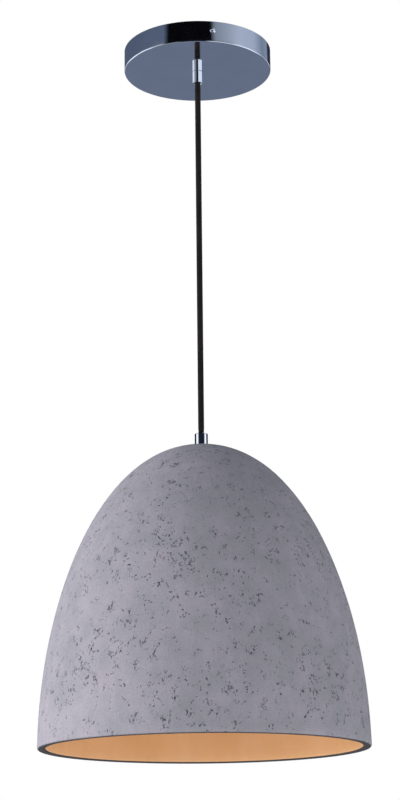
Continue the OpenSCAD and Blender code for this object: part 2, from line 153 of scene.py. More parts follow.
class Nodes:
    """A node tree, with short calls that add nodes to it."""

    def __init__(self, tree):
        self.tree = tree

    def add(self, kind, **values):
        node = self.tree.nodes.new(kind)
        for key, value in values.items():
            setattr(node, key, value)
        return node

    def link(self, source, target):
        self.tree.links.new(source, target)

    def feed(self, sockets, values):
        """Gives each socket its value: a number, a colour or another node's output."""
        for socket, value in zip(sockets, values):
            if isinstance(value, bpy.types.NodeSocket):
                self.link(value, socket)
            elif isinstance(value, tuple):
                socket.default_value = (*value, 1)
            else:
                socket.default_value = value

    def calculate(self, operation, *values):
        node = self.add("ShaderNodeMath", operation=operation)
        self.feed(node.inputs, values)
        return node.outputs[0]

    def ramp(self, source, *stops):
        """A colour ramp through (position, colour) stops."""
        node = self.add("ShaderNodeValToRGB")
        elements = node.color_ramp.elements
        while len(elements) < len(stops):
            elements.new(0.5)
        for element, (position, colour) in zip(elements, stops):
            element.position = position
            element.color = (*colour, 1)
        self.link(source, node.inputs["Fac"])
        return node.outputs["Color"]

    def mix(self, factor, first, second, kind="MIX"):
        """Two colours mixed by a factor."""
        node = self.add("ShaderNodeMix", data_type="RGBA", blend_type=kind)
        self.feed((node.inputs["Factor"], node.inputs[6], node.inputs[7]), (factor, first, second))
        return node.outputs[2]


class Shader(Nodes):
    """One node material: a Principled shader and short calls that add the nodes feeding it."""

    def __init__(self, name, **constants):
        self.material = bpy.data.materials.new(name)
        self.material.use_nodes = True
        super().__init__(self.material.node_tree)
        self.principled = self.tree.nodes["Principled BSDF"]
        self.place = self.add("ShaderNodeTexCoord").outputs["Object"]
        for socket, value in constants.items():
            self.principled.inputs[socket.replace("_", " ")].default_value = value

    def sampled(self, kind, place, **settings):
        """A node that reads the object's coordinates, or another vector, with settings for its inputs."""
        node = self.add(kind)
        for socket, value in settings.items():
            node.inputs[socket].default_value = value
        self.link(place or self.place, node.inputs["Vector"])
        return node.outputs

    def stretched(self, x, y, z):
        """The object's coordinates scaled along each axis."""
        return self.sampled("ShaderNodeMapping", None, Scale=(x, y, z))["Vector"]

    def attribute(self, name):
        return self.add("ShaderNodeAttribute", attribute_name=name).outputs["Fac"]

    def noise(self, size, detail=3.0, roughness=0.55, place=None):
        """Noise whose features are about size metres across."""
        settings = {"Scale": 1 / size, "Detail": detail, "Roughness": roughness}
        return self.sampled("ShaderNodeTexNoise", place, **settings)["Fac"]

    def cells(self, size, place):
        """Distance to the nearest of scattered points about size metres apart."""
        return self.sampled("ShaderNodeTexVoronoi", place, Scale=1 / size)["Distance"]

    def warped(self, size, shift, source=None):
        """A vector pushed about by shift metres, by noise whose features are about size metres across."""
        swirl = self.sampled("ShaderNodeTexNoise", source, Scale=1 / size)["Color"]
        node = self.add("ShaderNodeVectorMath", operation="MULTIPLY_ADD")
        self.link(swirl, node.inputs[0])
        node.inputs[1].default_value = grey(2 * shift)
        self.link(source or self.place, node.inputs[2])
        return node.outputs["Vector"]

    def flakes(self, size):
        """A random level for each cell about size metres across."""
        split = self.add("ShaderNodeSeparateColor")
        self.link(self.sampled("ShaderNodeTexVoronoi", None, Scale=1 / size)["Color"], split.inputs["Color"])
        return split.outputs["Red"]

    def span(self, source, low, high, to_low, to_high):
        """source between low and high, mapped onto to_low to to_high."""
        node = self.add("ShaderNodeMapRange")
        names = ("Value", "From Min", "From Max", "To Min", "To Max")
        self.feed([node.inputs[name] for name in names], (source, low, high, to_low, to_high))
        return node.outputs["Result"]

    def sum(self, *terms):
        """The sum of (socket, weight) terms."""
        total = 0
        for source, weight in terms:
            total = self.calculate("MULTIPLY_ADD", source, weight, total)
        return total

    def colour(self, source):
        self.link(source, self.principled.inputs["Base Color"])

    def rough(self, source):
        self.link(source, self.principled.inputs["Roughness"])

    def bump(self, height, depth):
        """Relief of about depth metres where height runs from 0 to 1."""
        node = self.add("ShaderNodeBump")
        node.inputs["Distance"].default_value = depth
        self.link(height, node.inputs["Height"])
        self.link(node.outputs["Normal"], self.principled.inputs["Normal"])


# ---- Materials ----


def cement_material():
    """Cast cement: lilac grey, clouded, finely grained, with painted shade in its air pits, pores and cracks and
    on the rim's underside.
    """
    s = Shader("cast_cement", Roughness=0.85, Specular_IOR_Level=0.25)
    clouds = s.ramp(s.noise(75 * MM, 3), (0.36, (0.336, 0.326, 0.36)), (0.64, (0.373, 0.355, 0.395)))
    patches = s.ramp(s.noise(26 * MM, 5, 0.6), (0.35, (0.88, 0.91, 0.9)), (0.62, (1.04, 1.02, 1.03)))
    tone = s.mix(0.85, clouds, patches, "MULTIPLY")
    streaks = s.ramp(
        s.noise(9 * MM, 4, 0.6, s.stretched(1, 1, 0.28)), (0.42, grey(0.9)), (0.58, (1.02, 1.02, 1.03))
    )
    tone = s.mix(0.3, tone, streaks, "MULTIPLY")
    grain = s.ramp(s.noise(1.1 * MM, 3, 0.7), (0.34, grey(0.82)), (0.62, grey(1.06)))
    tone = s.mix(0.7, tone, grain, "MULTIPLY")
    # Pores and short crooked cracks too fine to model, gathered in patches; the shade in their hollows is
    # painted dark into the colour
    crowd = s.sum((s.noise(9.5 * MM, 3, 0.6), 0.8), (s.noise(70 * MM, 2), 0.2))
    dots = s.cells(2.4 * MM, s.warped(1.8 * MM, 1.5 * MM, s.stretched(1, 1, 0.5)))
    pores = s.span(s.sum((dots, 1.0), (crowd, -2.3)), -1.165, -1.065, 0.7, 0.0)
    lines = s.ramp(
        s.noise(4.4 * MM, 1.5, 0.5, s.stretched(1, 1, 0.7)), (0.435, grey(0)), (0.475, grey(1)),
        (0.525, grey(1)), (0.565, grey(0)),
    )
    breaks = s.span(s.noise(2.5 * MM, 1.5), 0.53, 0.59, 0, 1)
    lines = s.mix(1.0, s.mix(1.0, lines, breaks, "MULTIPLY"), s.span(crowd, 0.525, 0.585, 0, 0.8), "MULTIPLY")
    specks = s.span(s.cells(7.5 * MM, s.warped(2 * MM, 0.8 * MM)), 0.06, 0.1, 0.6, 0.0)
    # painted shade: pores, cracks and specks coloured near-black for the shade in their hollows
    tone = s.mix(s.sum((pores, 1.0), (lines, 1.0), (specks, 1.0)), tone, (0.08, 0.076, 0.098))
    # painted shade inside the modelled air pits, darker further into each pit
    tone = s.mix(s.span(s.attribute("pit"), 0.05, 0.7, 0, 0.86), tone, (0.055, 0.05, 0.058))
    # painted shade on the rim's underside, which faces down away from the lights
    tone = s.mix(s.attribute("rim"), tone, (0.045, 0.041, 0.042))
    s.colour(tone)
    s.rough(s.span(s.noise(6 * MM), 0.3, 0.7, 0.78, 0.95))
    skin = ((s.noise(1.6 * MM, 4, 0.65), 0.75), (s.noise(9 * MM, 2), 0.8))
    s.bump(s.sum(*skin, (pores, -1.4), (lines, -1.2), (specks, -1.0)), 0.35 * MM)
    return s.material


def inside_paint_material():
    """Warm peach-orange matt paint brushed over the cast inside."""
    s = Shader("inside_paint", Roughness=0.6, Specular_IOR_Level=0.3)
    base = s.ramp(s.noise(60 * MM, 3), (0.35, (0.69, 0.395, 0.178)), (0.65, (0.73, 0.435, 0.222)))
    brush = s.ramp(
        s.noise(13 * MM, 4, 0.6, s.stretched(1, 1, 0.35)), (0.35, (0.9, 0.88, 0.86)), (0.65, (1.03, 1.03, 1.02))
    )
    s.colour(s.mix(0.3, base, brush, "MULTIPLY"))
    s.rough(s.span(s.noise(8 * MM), 0.3, 0.7, 0.5, 0.72))
    s.bump(s.sum((s.noise(2.4 * MM, 3, 0.6), 1.0), (s.noise(12 * MM, 2), 0.8)), 0.25 * MM)
    return s.material


def textile_material():
    """Black-brown braided textile: dull yarn, with painted shade between its strands."""
    s = Shader("black_textile", Roughness=0.9, Specular_IOR_Level=0.2, Sheen_Weight=0.12, Sheen_Roughness=0.4)
    fibre = s.noise(0.35 * MM, 3, 0.7)
    yarn = s.ramp(fibre, (0.3, (0.006, 0.005, 0.005)), (0.7, (0.022, 0.018, 0.016)))
    wear = s.ramp(s.noise(40 * MM, 2), (0.4, grey(0.85)), (0.65, (1.25, 1.2, 1.18)))
    tone = s.mix(1.0, yarn, wear, "MULTIPLY")
    # painted shade: near-black where the braid dips between its strands
    s.colour(s.mix(s.span(s.attribute("strand"), 0.05, 0.6, 0.8, 0), tone, grey(0.002)))
    s.rough(s.span(fibre, 0.3, 0.7, 0.82, 0.98))
    s.bump(fibre, 0.12 * MM)
    return s.material


def metal_material(name, low, high, rough, grain, scratch, depth):
    """A metal whose tone runs from low to high, with fine scratches and smudges in its roughness."""
    s = Shader(name, Metallic=1.0)
    s.colour(s.ramp(s.noise(grain, 3, 0.6), (0.35, low), (0.65, high)))
    smudge = s.noise(14 * MM, 3)
    fine = s.noise(0.7 * MM, 2, 0.6)
    s.rough(s.sum((s.span(smudge, 0.35, 0.7, rough, rough * 1.8 + 0.01), 1.0), (fine, scratch)))
    s.bump(s.sum((fine, 0.5), (s.noise(5 * MM, 2), 0.5)), depth * MM)
    return s.material


def spangled_material():
    """Zinc plate with a faint crystal pattern."""
    s = Shader("zinc_spangle", Metallic=1.0)
    s.colour(s.ramp(s.flakes(3 * MM), (0.0, (0.42, 0.43, 0.45)), (1.0, (0.62, 0.63, 0.66))))
    s.rough(s.span(s.flakes(3 * MM), 0, 1, 0.28, 0.5))
    s.bump(s.noise(0.8 * MM, 3), 0.05 * MM)
    return s.material


def plastic_material(name, low, high, rough, grain, depth):
    """Moulded plastic, rubber or insulation with a mottled tone and a fine moulded skin."""
    s = Shader(name)
    s.colour(s.ramp(s.noise(grain, 3, 0.6), (0.32, low), (0.68, high)))
    s.rough(s.span(s.noise(grain * 2, 3), 0.3, 0.7, rough * 0.85, rough * 1.2))
    s.bump(s.noise(0.5 * MM, 3, 0.6), depth * MM)
    return s.material


def glass_material(name, tint, rough, flaw):
    """Blown or pressed glass, its surface very slightly uneven."""
    s = Shader(name, Transmission_Weight=1.0, IOR=1.46)
    s.colour(s.ramp(s.noise(20 * MM, 2), (0.3, tint), (0.7, tuple(min(1, c * 1.03) for c in tint))))
    s.rough(s.span(s.noise(9 * MM, 2), 0.3, 0.7, rough, rough * 2.5))
    s.bump(s.noise(18 * MM, 2), flaw * MM)
    return s.material


CEMENT = cement_material()
PAINT = inside_paint_material()
TEXTILE = textile_material()
CHROME = metal_material("polished_chrome", (0.73, 0.75, 0.79), (0.77, 0.79, 0.83), 0.035, 30 * MM, 0.015, 0.002)
BARE_STEEL = metal_material("bare_steel", (0.36, 0.36, 0.37), (0.5, 0.5, 0.51), 0.34, 5 * MM, 0.08, 0.03)
MATERIALS = {
    "zinc_steel": spangled_material(),
    "chrome_plate": CHROME,
    "textile_cord": TEXTILE,
    "cement": CEMENT,
    "lamp_glass": glass_material("lamp_glass", (0.95, 0.94, 0.91), 0.006, 0.03),
    "lamp_stem_glass": glass_material("stem_glass", (0.9, 0.93, 0.93), 0.02, 0.08),
}
# For each slot: the material's name, its two tones, roughness, grain in mm, scratch and depth
for slot, name, low, high, rough, grain, scratch, depth in (
    ("earth_green", "green_passivate", (0.05, 0.2, 0.09), (0.1, 0.33, 0.15), 0.3, 3, 0.05, 0.03),
    ("terminal_brass", "terminal_brass", (0.6, 0.42, 0.17), (0.74, 0.55, 0.26), 0.22, 4, 0.06, 0.03),
    ("lamp_nickel", "lamp_nickel", (0.52, 0.52, 0.53), (0.66, 0.66, 0.67), 0.2, 4, 0.06, 0.02),
    ("filament_wire", "filament_wire", (0.34, 0.33, 0.32), (0.5, 0.49, 0.47), 0.35, 1, 0.08, 0.02),
):
    MATERIALS[slot] = metal_material(name, low, high, rough, grain * MM, scratch, depth)
# For each slot: the material's name, its two tones, roughness, grain in mm and depth
for slot, name, low, high, rough, grain, depth in (
    ("live_insulation", "black_insulation", grey(0.012), grey(0.03), 0.45, 2, 0.05),
    ("neutral_insulation", "white_insulation", (0.66, 0.64, 0.59), (0.8, 0.78, 0.73), 0.42, 2, 0.05),
    ("earth_insulation", "green_insulation", (0.035, 0.22, 0.07), (0.08, 0.36, 0.13), 0.42, 2, 0.05),
    ("connector_orange", "orange_connector", (0.72, 0.26, 0.045), (0.82, 0.36, 0.09), 0.4, 3, 0.05),
    ("gasket_rubber", "gasket_rubber", grey(0.018), (0.04, 0.04, 0.041), 0.75, 1.5, 0.12),
    ("phenolic_black", "black_phenolic", (0.012, 0.012, 0.013), (0.03, 0.028, 0.028), 0.28, 4, 0.03),
    ("porcelain", "porcelain", (0.7, 0.67, 0.6), (0.82, 0.8, 0.74), 0.35, 2, 0.05),
    ("lamp_black_glass", "black_glass", (0.006, 0.006, 0.007), (0.014, 0.014, 0.016), 0.08, 4, 0.02),
):
    MATERIALS[slot] = plastic_material(name, low, high, rough, grain * MM, depth)

# ---- Mesh helpers ----


def finish_mesh(mesh, sharp_degrees=38):
    mesh.shade_smooth()
    mesh.set_sharp_from_angle(angle=math.radians(sharp_degrees))
    mesh.update()


def mesh_object(name, verts, faces, materials=()):
    mesh = bpy.data.meshes.new(name)
    mesh.from_pydata(verts, [], faces)
    for material in materials:
        mesh.materials.append(material)
    return new_object(name, mesh)


def piece(name, verts, faces, node, materials=None, zones=None, sharp_degrees=38, weld=0.2e-6):
    """A piece that rides with a CAD node's body and stands for it, its normals outwards.
    zones gives each face's material by its place in faces."""
    made = mesh_object(name, verts, faces, materials or [MATERIALS[SLOT_OF[node]]])
    if zones:
        made.data.polygons.foreach_set("material_index", zones)
    shape = bmesh.new()
    shape.from_mesh(made.data)
    if weld:
        bmesh.ops.remove_doubles(shape, verts=shape.verts, dist=weld)
    bmesh.ops.recalc_face_normals(shape, faces=shape.faces)
    shape.to_mesh(made.data)
    shape.free()
    finish_mesh(made.data, sharp_degrees)
    return stand_in(made, node)


def stand_in(made, node):
    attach(made, BODY_OF[node])
    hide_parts(node)
    return made


def between(low, high, sides):
    """Quads between two rings of vertices, whose first vertices are low and high."""
    quads = []
    for k in range(sides):
        n = (k + 1) % sides
        quads.append((low + k, low + n, high + n, high + k))
    return quads


def caps(last, sides):
    """The faces that close a tube at its first ring and at the ring that starts at last."""
    return [tuple(range(sides))[::-1], tuple(range(last, last + sides))]


def joined(parts):
    """Points and faces of several (points, faces) parts as one mesh."""
    verts, faces = [], []
    for part_verts, part_faces in parts:
        base = len(verts)
        verts += part_verts
        faces += [tuple(base + v for v in face) for face in part_faces]
    return verts, faces


def arc(centre_r, centre_z, radius, start, end, steps):
    """Points on an arc in the (radius, height) plane; angles in degrees from the outward direction."""
    angles = [math.radians(start + (end - start) * i / steps) for i in range(steps + 1)]
    return [(centre_r + radius * math.cos(a), centre_z + radius * math.sin(a)) for a in angles]


ON_AXIS = 1e-9


def turned(outline, segments):
    """Points and faces of a closed (radius, height) outline turned about Z."""
    verts = [
        (r * math.cos(TURN * k / segments), r * math.sin(TURN * k / segments), z)
        for r, z in outline
        for k in range(segments)
    ]
    faces = []
    count = len(outline)
    for i in range(count):
        j = (i + 1) % count
        if outline[i][0] > ON_AXIS or outline[j][0] > ON_AXIS:
            faces += between(i * segments, j * segments, segments)
    return verts, faces


def turned_piece(name, outline, node, segments=96, materials=None, zone=None, sharp_degrees=38):
    """A turned piece; zone(i) gives the material of the band that starts at outline point i."""
    verts, faces = turned(outline, segments)
    zones = None
    if zone:
        zones = [zone(face[0] // segments) for face in faces]
    return piece(name, verts, faces, node, materials, zones, sharp_degrees)


def cut(made, *cutters):
    """Cuts closed tools out of a piece and discards the tools."""
    for tool in cutters:
        modifier = made.modifiers.new("cut", "BOOLEAN")
        modifier.operation = "DIFFERENCE"
        modifier.solver = "EXACT"
        modifier.object = tool
    apply_modifiers(made)
    for tool in cutters:
        bpy.data.objects.remove(tool)
    finish_mesh(made.data)


def apply_modifiers(made):
    bpy.context.view_layer.update()
    evaluated = made.evaluated_get(bpy.context.evaluated_depsgraph_get())
    mesh = bpy.data.meshes.new_from_object(evaluated)
    made.modifiers.clear()
    made.data = mesh


def rod_tool(radius, start, end):
    """A closed rod between two points, for cutting."""
    return mesh_object("tool", *ring_mesh([(start, radius), (end, radius)], 32))


def ring_mesh(rings, segments):
    """Points and faces of a closed tube through (centre, radius) rings, square to its own line."""
    points = [Vector(centre) for centre, _ in rings]
    side = None
    verts, faces = [], []
    for i, (centre, radius) in enumerate(rings):
        ahead = (points[min(i + 1, len(points) - 1)] - points[max(i - 1, 0)]).normalized()
        if side is None:
            side = ahead.orthogonal().normalized()
        side = (side - ahead * side.dot(ahead)).normalized()
        up = ahead.cross(side)
        for k in range(segments):
            a = TURN * k / segments
            verts.append(tuple(points[i] + (side * math.cos(a) + up * math.sin(a)) * radius))
    for i in range(len(rings) - 1):
        faces += between(i * segments, (i + 1) * segments, segments)
    return verts, faces + caps((len(rings) - 1) * segments, segments)


def refined(node, bevel):
    """A copy of a CAD node's mesh with its facets merged and its edges softly rounded."""
    mesh = frame["nodes"][node].data.copy()
    shape = bmesh.new()
    shape.from_mesh(mesh)
    bmesh.ops.remove_doubles(shape, verts=shape.verts, dist=1e-6)
    bmesh.ops.dissolve_limit(shape, angle_limit=math.radians(0.5), verts=shape.verts, edges=shape.edges)
    shape.to_mesh(mesh)
    shape.free()
    mesh.materials.clear()
    mesh.materials.append(MATERIALS[SLOT_OF[node]])
    made = new_object(node + "_detailed", mesh)
    rounding = made.modifiers.new("rounding", "BEVEL")
    rounding.width = bevel
    rounding.segments = 2
    rounding.limit_method = "ANGLE"
    rounding.angle_limit = math.radians(35)
    rounding.harden_normals = False
    apply_modifiers(made)
    finish_mesh(made.data, 50)
    return stand_in(made, node)


# ---- Cord: a tubular textile braid ----

CORD_STRANDS = 8
STRAND_LAY = 14 * MM
STRAND_RISE = 0.3 * MM
BRAID_SIDES = 64
BRAID_STEP = 0.62 * MM


def braid(turn, height):
    """Height from 0 to 1 of the braid's outer surface: two families of strands, each over one and under one."""
    a = CORD_STRANDS * (turn + height / STRAND_LAY)
    b = CORD_STRANDS * (turn - height / STRAND_LAY)
    swap = math.sin(math.pi * a) * math.sin(math.pi * b)
    over = abs(math.sin(math.pi * a)) ** 0.6 * (0.6 + 0.4 * swap)
    under = abs(math.sin(math.pi * b)) ** 0.6 * (0.6 - 0.4 * swap)
    return max(over, under)


def braided_sleeve(name, low, high, radius_at):
    """A closed braided solid of revolution from low to high, whose mean radius is radius_at(height)."""
    steps = max(8, round((high - low) / BRAID_STEP))
    heights = [low + (high - low) * i / steps for i in range(steps + 1)]
    verts, strand = [], []
    for z in heights:
        for k in range(BRAID_SIDES):
            turn = k / BRAID_SIDES
            rise = braid(turn, z)
            r = max(0.05 * MM, radius_at(z) - STRAND_RISE * (1 - rise))
            verts.append((r * math.cos(TURN * turn), r * math.sin(TURN * turn), z))
            strand.append(rise)
    faces = []
    for i in range(steps):
        faces += between(i * BRAID_SIDES, (i + 1) * BRAID_SIDES, BRAID_SIDES)
    made = mesh_object(name, verts, faces + caps(steps * BRAID_SIDES, BRAID_SIDES), [TEXTILE])
    finish_mesh(made.data, 60)
    # braid height, which the textile reads for its painted shade between strands
    add_attribute(made, "strand", strand)
    return made


def add_attribute(made, name, values):
    layer = made.data.attributes.new(name, "FLOAT", "POINT")
    layer.data.foreach_set("value", values)


def ball_radius(centre, radius):
    return lambda z: math.sqrt(max(0, radius * radius - (z - centre) ** 2))


def make_cord():
    # The free cord between the grips
    cord = braided_sleeve("cord", CORD_FOOT, CORD_TOP, lambda z: CORD_R + STRAND_RISE / 3)
    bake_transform(cord)
    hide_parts("cord_upper", "cord_lower")
    for node in ("cord_bend_top", "cord_bend_bottom"):
        low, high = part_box(node)
        middle, reach = (low.z + high.z) / 2, (high.z - low.z) / 2
        ball = braided_sleeve(node + "_sleeve", low.z, high.z, ball_radius(middle, reach))
        stand_in(ball, node)
    # The hidden ends: braid up to where it is cut back
    for node in ("canopy_cord_tail", "shade_cord_tail"):
        tail = braided_sleeve(node + "_sleeve", foot_of(node), top_of(node), lambda z: CORD_R)
        stand_in(tail, node)


make_cord()

# ---- Shade ----

SHADE_ROUND = 208
SHADE_SPLIT = 16
PIT_CELL = 1.05
LONE_PITS, LONE_WORMS, CLUSTERS, FRONT_CLUSTERS = 150, 46, 52, 20
WORM_SHARE = 0.55


def bell(radius, height, u):
    return radius * math.sin(u) ** (2 / SHOULDER_RADIAL), height * math.cos(u) ** (2 / SHOULDER_AXIAL)


def even_bell(radius, height, start, end):
    """A function of 0 to 1 that runs along a bell's curve at an even pace between two curve angles."""
    count = 600
    us = [start + (end - start) * i / count for i in range(count + 1)]
    line = [bell(radius, height, u) for u in us]
    along = [0.0]
    for p, q in zip(line, line[1:]):
        along.append(along[-1] + math.dist(p, q))

    def at(t):
        goal = t * along[-1]
        low, high = 0, count
        while high - low > 1:
            middle = (low + high) // 2
            if along[middle] <= goal:
                low = middle
            else:
                high = middle
        part = (goal - along[low]) / max(1e-12, along[high] - along[low])
        r, h = bell(radius, height, us[low] + (us[high] - us[low]) * part)
        return r, RIM + h

    return at, along[-1]


def solve_angle(height_of, goal):
    """The curve angle between 0 and a right angle at which a falling height meets goal."""
    low, high = 0.0, math.pi / 2
    for _ in range(60):
        middle = (low + high) / 2
        if height_of(middle) > goal:
            low = middle
        else:
            high = middle
    return (low + high) / 2


def straight(start, end):
    return lambda t: (start[0] + (end[0] - start[0]) * t, start[1] + (end[1] - start[1]) * t)


def curve(centre_r, centre_z, radius, start, end):
    def at(t):
        a = math.radians(start + (end - start) * t)
        return centre_r + radius * math.cos(a), centre_z + radius * math.sin(a)
    return at


class ShadeSection:
    """The closed cross-section of the shade's wall as rows of cells: outside, rim, inside, seat and bore."""

    OUTSIDE_ROWS = 84
    INSIDE_ROWS = 44

    def __init__(self):
        outer_h = CROWN_FLAT + SEAT_TRIM - RIM
        inner_r = SHADE_R - SHADE_WALL
        inner_h = outer_h - SHADE_CROWN + 2 * MM
        top_u = solve_angle(lambda u: bell(1, outer_h, u)[1], CROWN_FLAT - RIM)
        rim_u = solve_angle(lambda u: bell(1, outer_h, u)[1], RIM_OUTER)
        seat_u = solve_angle(lambda u: bell(1, inner_h, u)[1], INNER_SEAT - RIM)
        lip_u = solve_angle(lambda u: bell(1, inner_h, u)[1], RIM_INNER)
        outside, outside_length = even_bell(SHADE_R, outer_h, top_u, rim_u)
        self.row_length = outside_length / self.OUTSIDE_ROWS
        inside, _ = even_bell(inner_r, inner_h, lip_u, seat_u)
        edge_start, edge_end = outside(0), inside(1)
        self.rim_rows = (self.OUTSIDE_ROWS, self.OUTSIDE_ROWS + 8)
        self.parts = [
            (outside, self.OUTSIDE_ROWS),
            (curve(SHADE_R - RIM_OUTER, RIM + RIM_OUTER, RIM_OUTER, 0, -90), 3),
            (straight((SHADE_R - RIM_OUTER, RIM), (inner_r + RIM_INNER, RIM)), 2),
            (curve(inner_r + RIM_INNER, RIM + RIM_INNER, RIM_INNER, -90, -180), 3),
            (inside, self.INSIDE_ROWS),
            (straight(edge_end, (SHADE_BORE, INNER_SEAT)), 3),
            (straight((SHADE_BORE, INNER_SEAT), (SHADE_BORE, CROWN_FLAT)), 3),
            (straight((SHADE_BORE, CROWN_FLAT), edge_start), 3),
        ]
        self.rows = sum(rows for _, rows in self.parts)

    def at(self, row):
        """The section's point at a row number, which may be a fraction."""
        row %= self.rows
        for outline, rows in self.parts:
            if row <= rows:
                return outline(row / rows)
            row -= rows


def scatter_pits(section, chance):
    """Air pits as (turn, row, half length, half width, lean, depth); the lengths are in metres."""
    def radius_at(row):
        return section.at(row)[0]

    pits = []

    def add(turn, row, size, slim, lean):
        if 1.5 < row < section.OUTSIDE_ROWS - 0.6:
            pits.append((turn % 1, row, size, size / slim, lean, size * chance.uniform(0.75, 1.15)))

    def any_place():
        while True:
            row = chance.uniform(2, section.OUTSIDE_ROWS - 1)
            if chance.random() * SHADE_R < radius_at(row):
                return chance.random(), row

    def worm(turn, row, count, size):
        # a chain of pits that merge into a short crooked streak
        lean = chance.gauss(math.pi / 2, 0.8)
        for _ in range(count):
            add(turn, row, size * chance.uniform(0.7, 1.15), chance.uniform(1.0, 1.6), lean)
            lean += chance.gauss(0, 0.6)
            step = size * chance.uniform(1.1, 1.8)
            turn += step * math.cos(lean) / (TURN * radius_at(row))
            row += step * math.sin(lean) / section.row_length

    def cluster(turn, row, spread, count):
        for _ in range(count):
            t = turn + chance.gauss(0, spread) / (TURN * radius_at(row))
            r = row + chance.gauss(0, spread) / section.row_length
            if chance.random() < WORM_SHARE:
                worm(t, r, chance.randint(2, 4), chance.uniform(0.45, 0.75) * MM)
            else:
                add(t, r, chance.uniform(0.5, 0.95) * MM, chance.uniform(1.0, 2.0), chance.uniform(0, math.pi))

    for _ in range(LONE_PITS):
        turn, row = any_place()
        add(turn, row, chance.uniform(0.5, 1.1) * MM, chance.uniform(1.0, 2.4), chance.gauss(1.57, 0.6))
    for _ in range(LONE_WORMS):
        turn, row = any_place()
        worm(turn, row, chance.randint(2, 5), chance.uniform(0.5, 0.85) * MM)
    for _ in range(CLUSTERS):
        turn, row = any_place()
        cluster(turn, row, chance.uniform(2.2, 5.0) * MM, chance.randint(3, 6))
    front = (CAMERA_AZIMUTH - math.pi / 2) / TURN
    for _ in range(FRONT_CLUSTERS):
        cluster(front + chance.gauss(-0.06, 0.05), chance.gauss(0.6, 0.1) * section.OUTSIDE_ROWS,
                chance.uniform(2.2, 5.0) * MM, chance.randint(3, 6))
    return pits


def shade_leaves(section, pits):
    """Square cells of a grid that wraps both ways, split where a pit's edge or bowl passes through them."""
    rows, split = section.rows, SHADE_SPLIT
    near = {}
    for pit in pits:
        turn, row, long_r = pit[:3]
        wide = (long_r * PIT_CELL) / (TURN * section.at(row)[0]) * SHADE_ROUND
        tall = (long_r * PIT_CELL) / section.row_length
        for i in range(math.floor(row - tall), math.floor(row + tall) + 1):
            for k in range(math.floor(turn * SHADE_ROUND - wide), math.floor(turn * SHADE_ROUND + wide) + 1):
                near.setdefault((i, k % SHADE_ROUND), []).append(pit)

    def touches(pit, low_row, low_turn, size):
        # distance from the pit's centre to the cell, in metres
        turn, row, long_r = pit[:3]
        span = TURN * section.at(row)[0] / SHADE_ROUND
        off = (turn * SHADE_ROUND - low_turn - size / 2 + SHADE_ROUND / 2) % SHADE_ROUND - SHADE_ROUND / 2
        dx = max(0, abs(off) - size / 2) * span
        dy = max(0, abs(row - low_row - size / 2) - size / 2) * section.row_length
        return math.hypot(dx, dy) < long_r * PIT_CELL

    leaves = []

    def divide(i, k, size, around):
        inside = [pit for pit in around if touches(pit, i / split, k / split, size / split)]
        if size == 1 or not inside:
            leaves.append((i, k, size))
            return
        half = size // 2
        for a in (0, half):
            for b in (0, half):
                divide(i + a, k + b, half, inside)

    for i in range(rows):
        for k in range(SHADE_ROUND):
            divide(i * split, k * split, split, near.get((i, k), ()))
    return leaves, near


def pit_depth(around, section, turn, row):
    """How deep a point lies in the pits around it, in metres, and how much of a pit it is in, from 0 to 1."""
    deepest, share = 0.0, 0.0
    for p_turn, p_row, long_r, short_r, lean, depth in around:
        dx = ((turn - p_turn + 0.5) % 1 - 0.5) * TURN * section.at(p_row)[0]
        dy = (row - p_row) * section.row_length
        x = (dx * math.cos(lean) + dy * math.sin(lean)) / long_r
        y = (-dx * math.sin(lean) + dy * math.cos(lean)) / short_r
        away = math.hypot(x, y)
        if away < 1:
            bowl = 1 - max(0, (away - 0.35) / 0.65) ** 2
            deepest = max(deepest, depth * bowl)
            share = max(share, min(1, (1 - away) * 3.2))
    return deepest, share


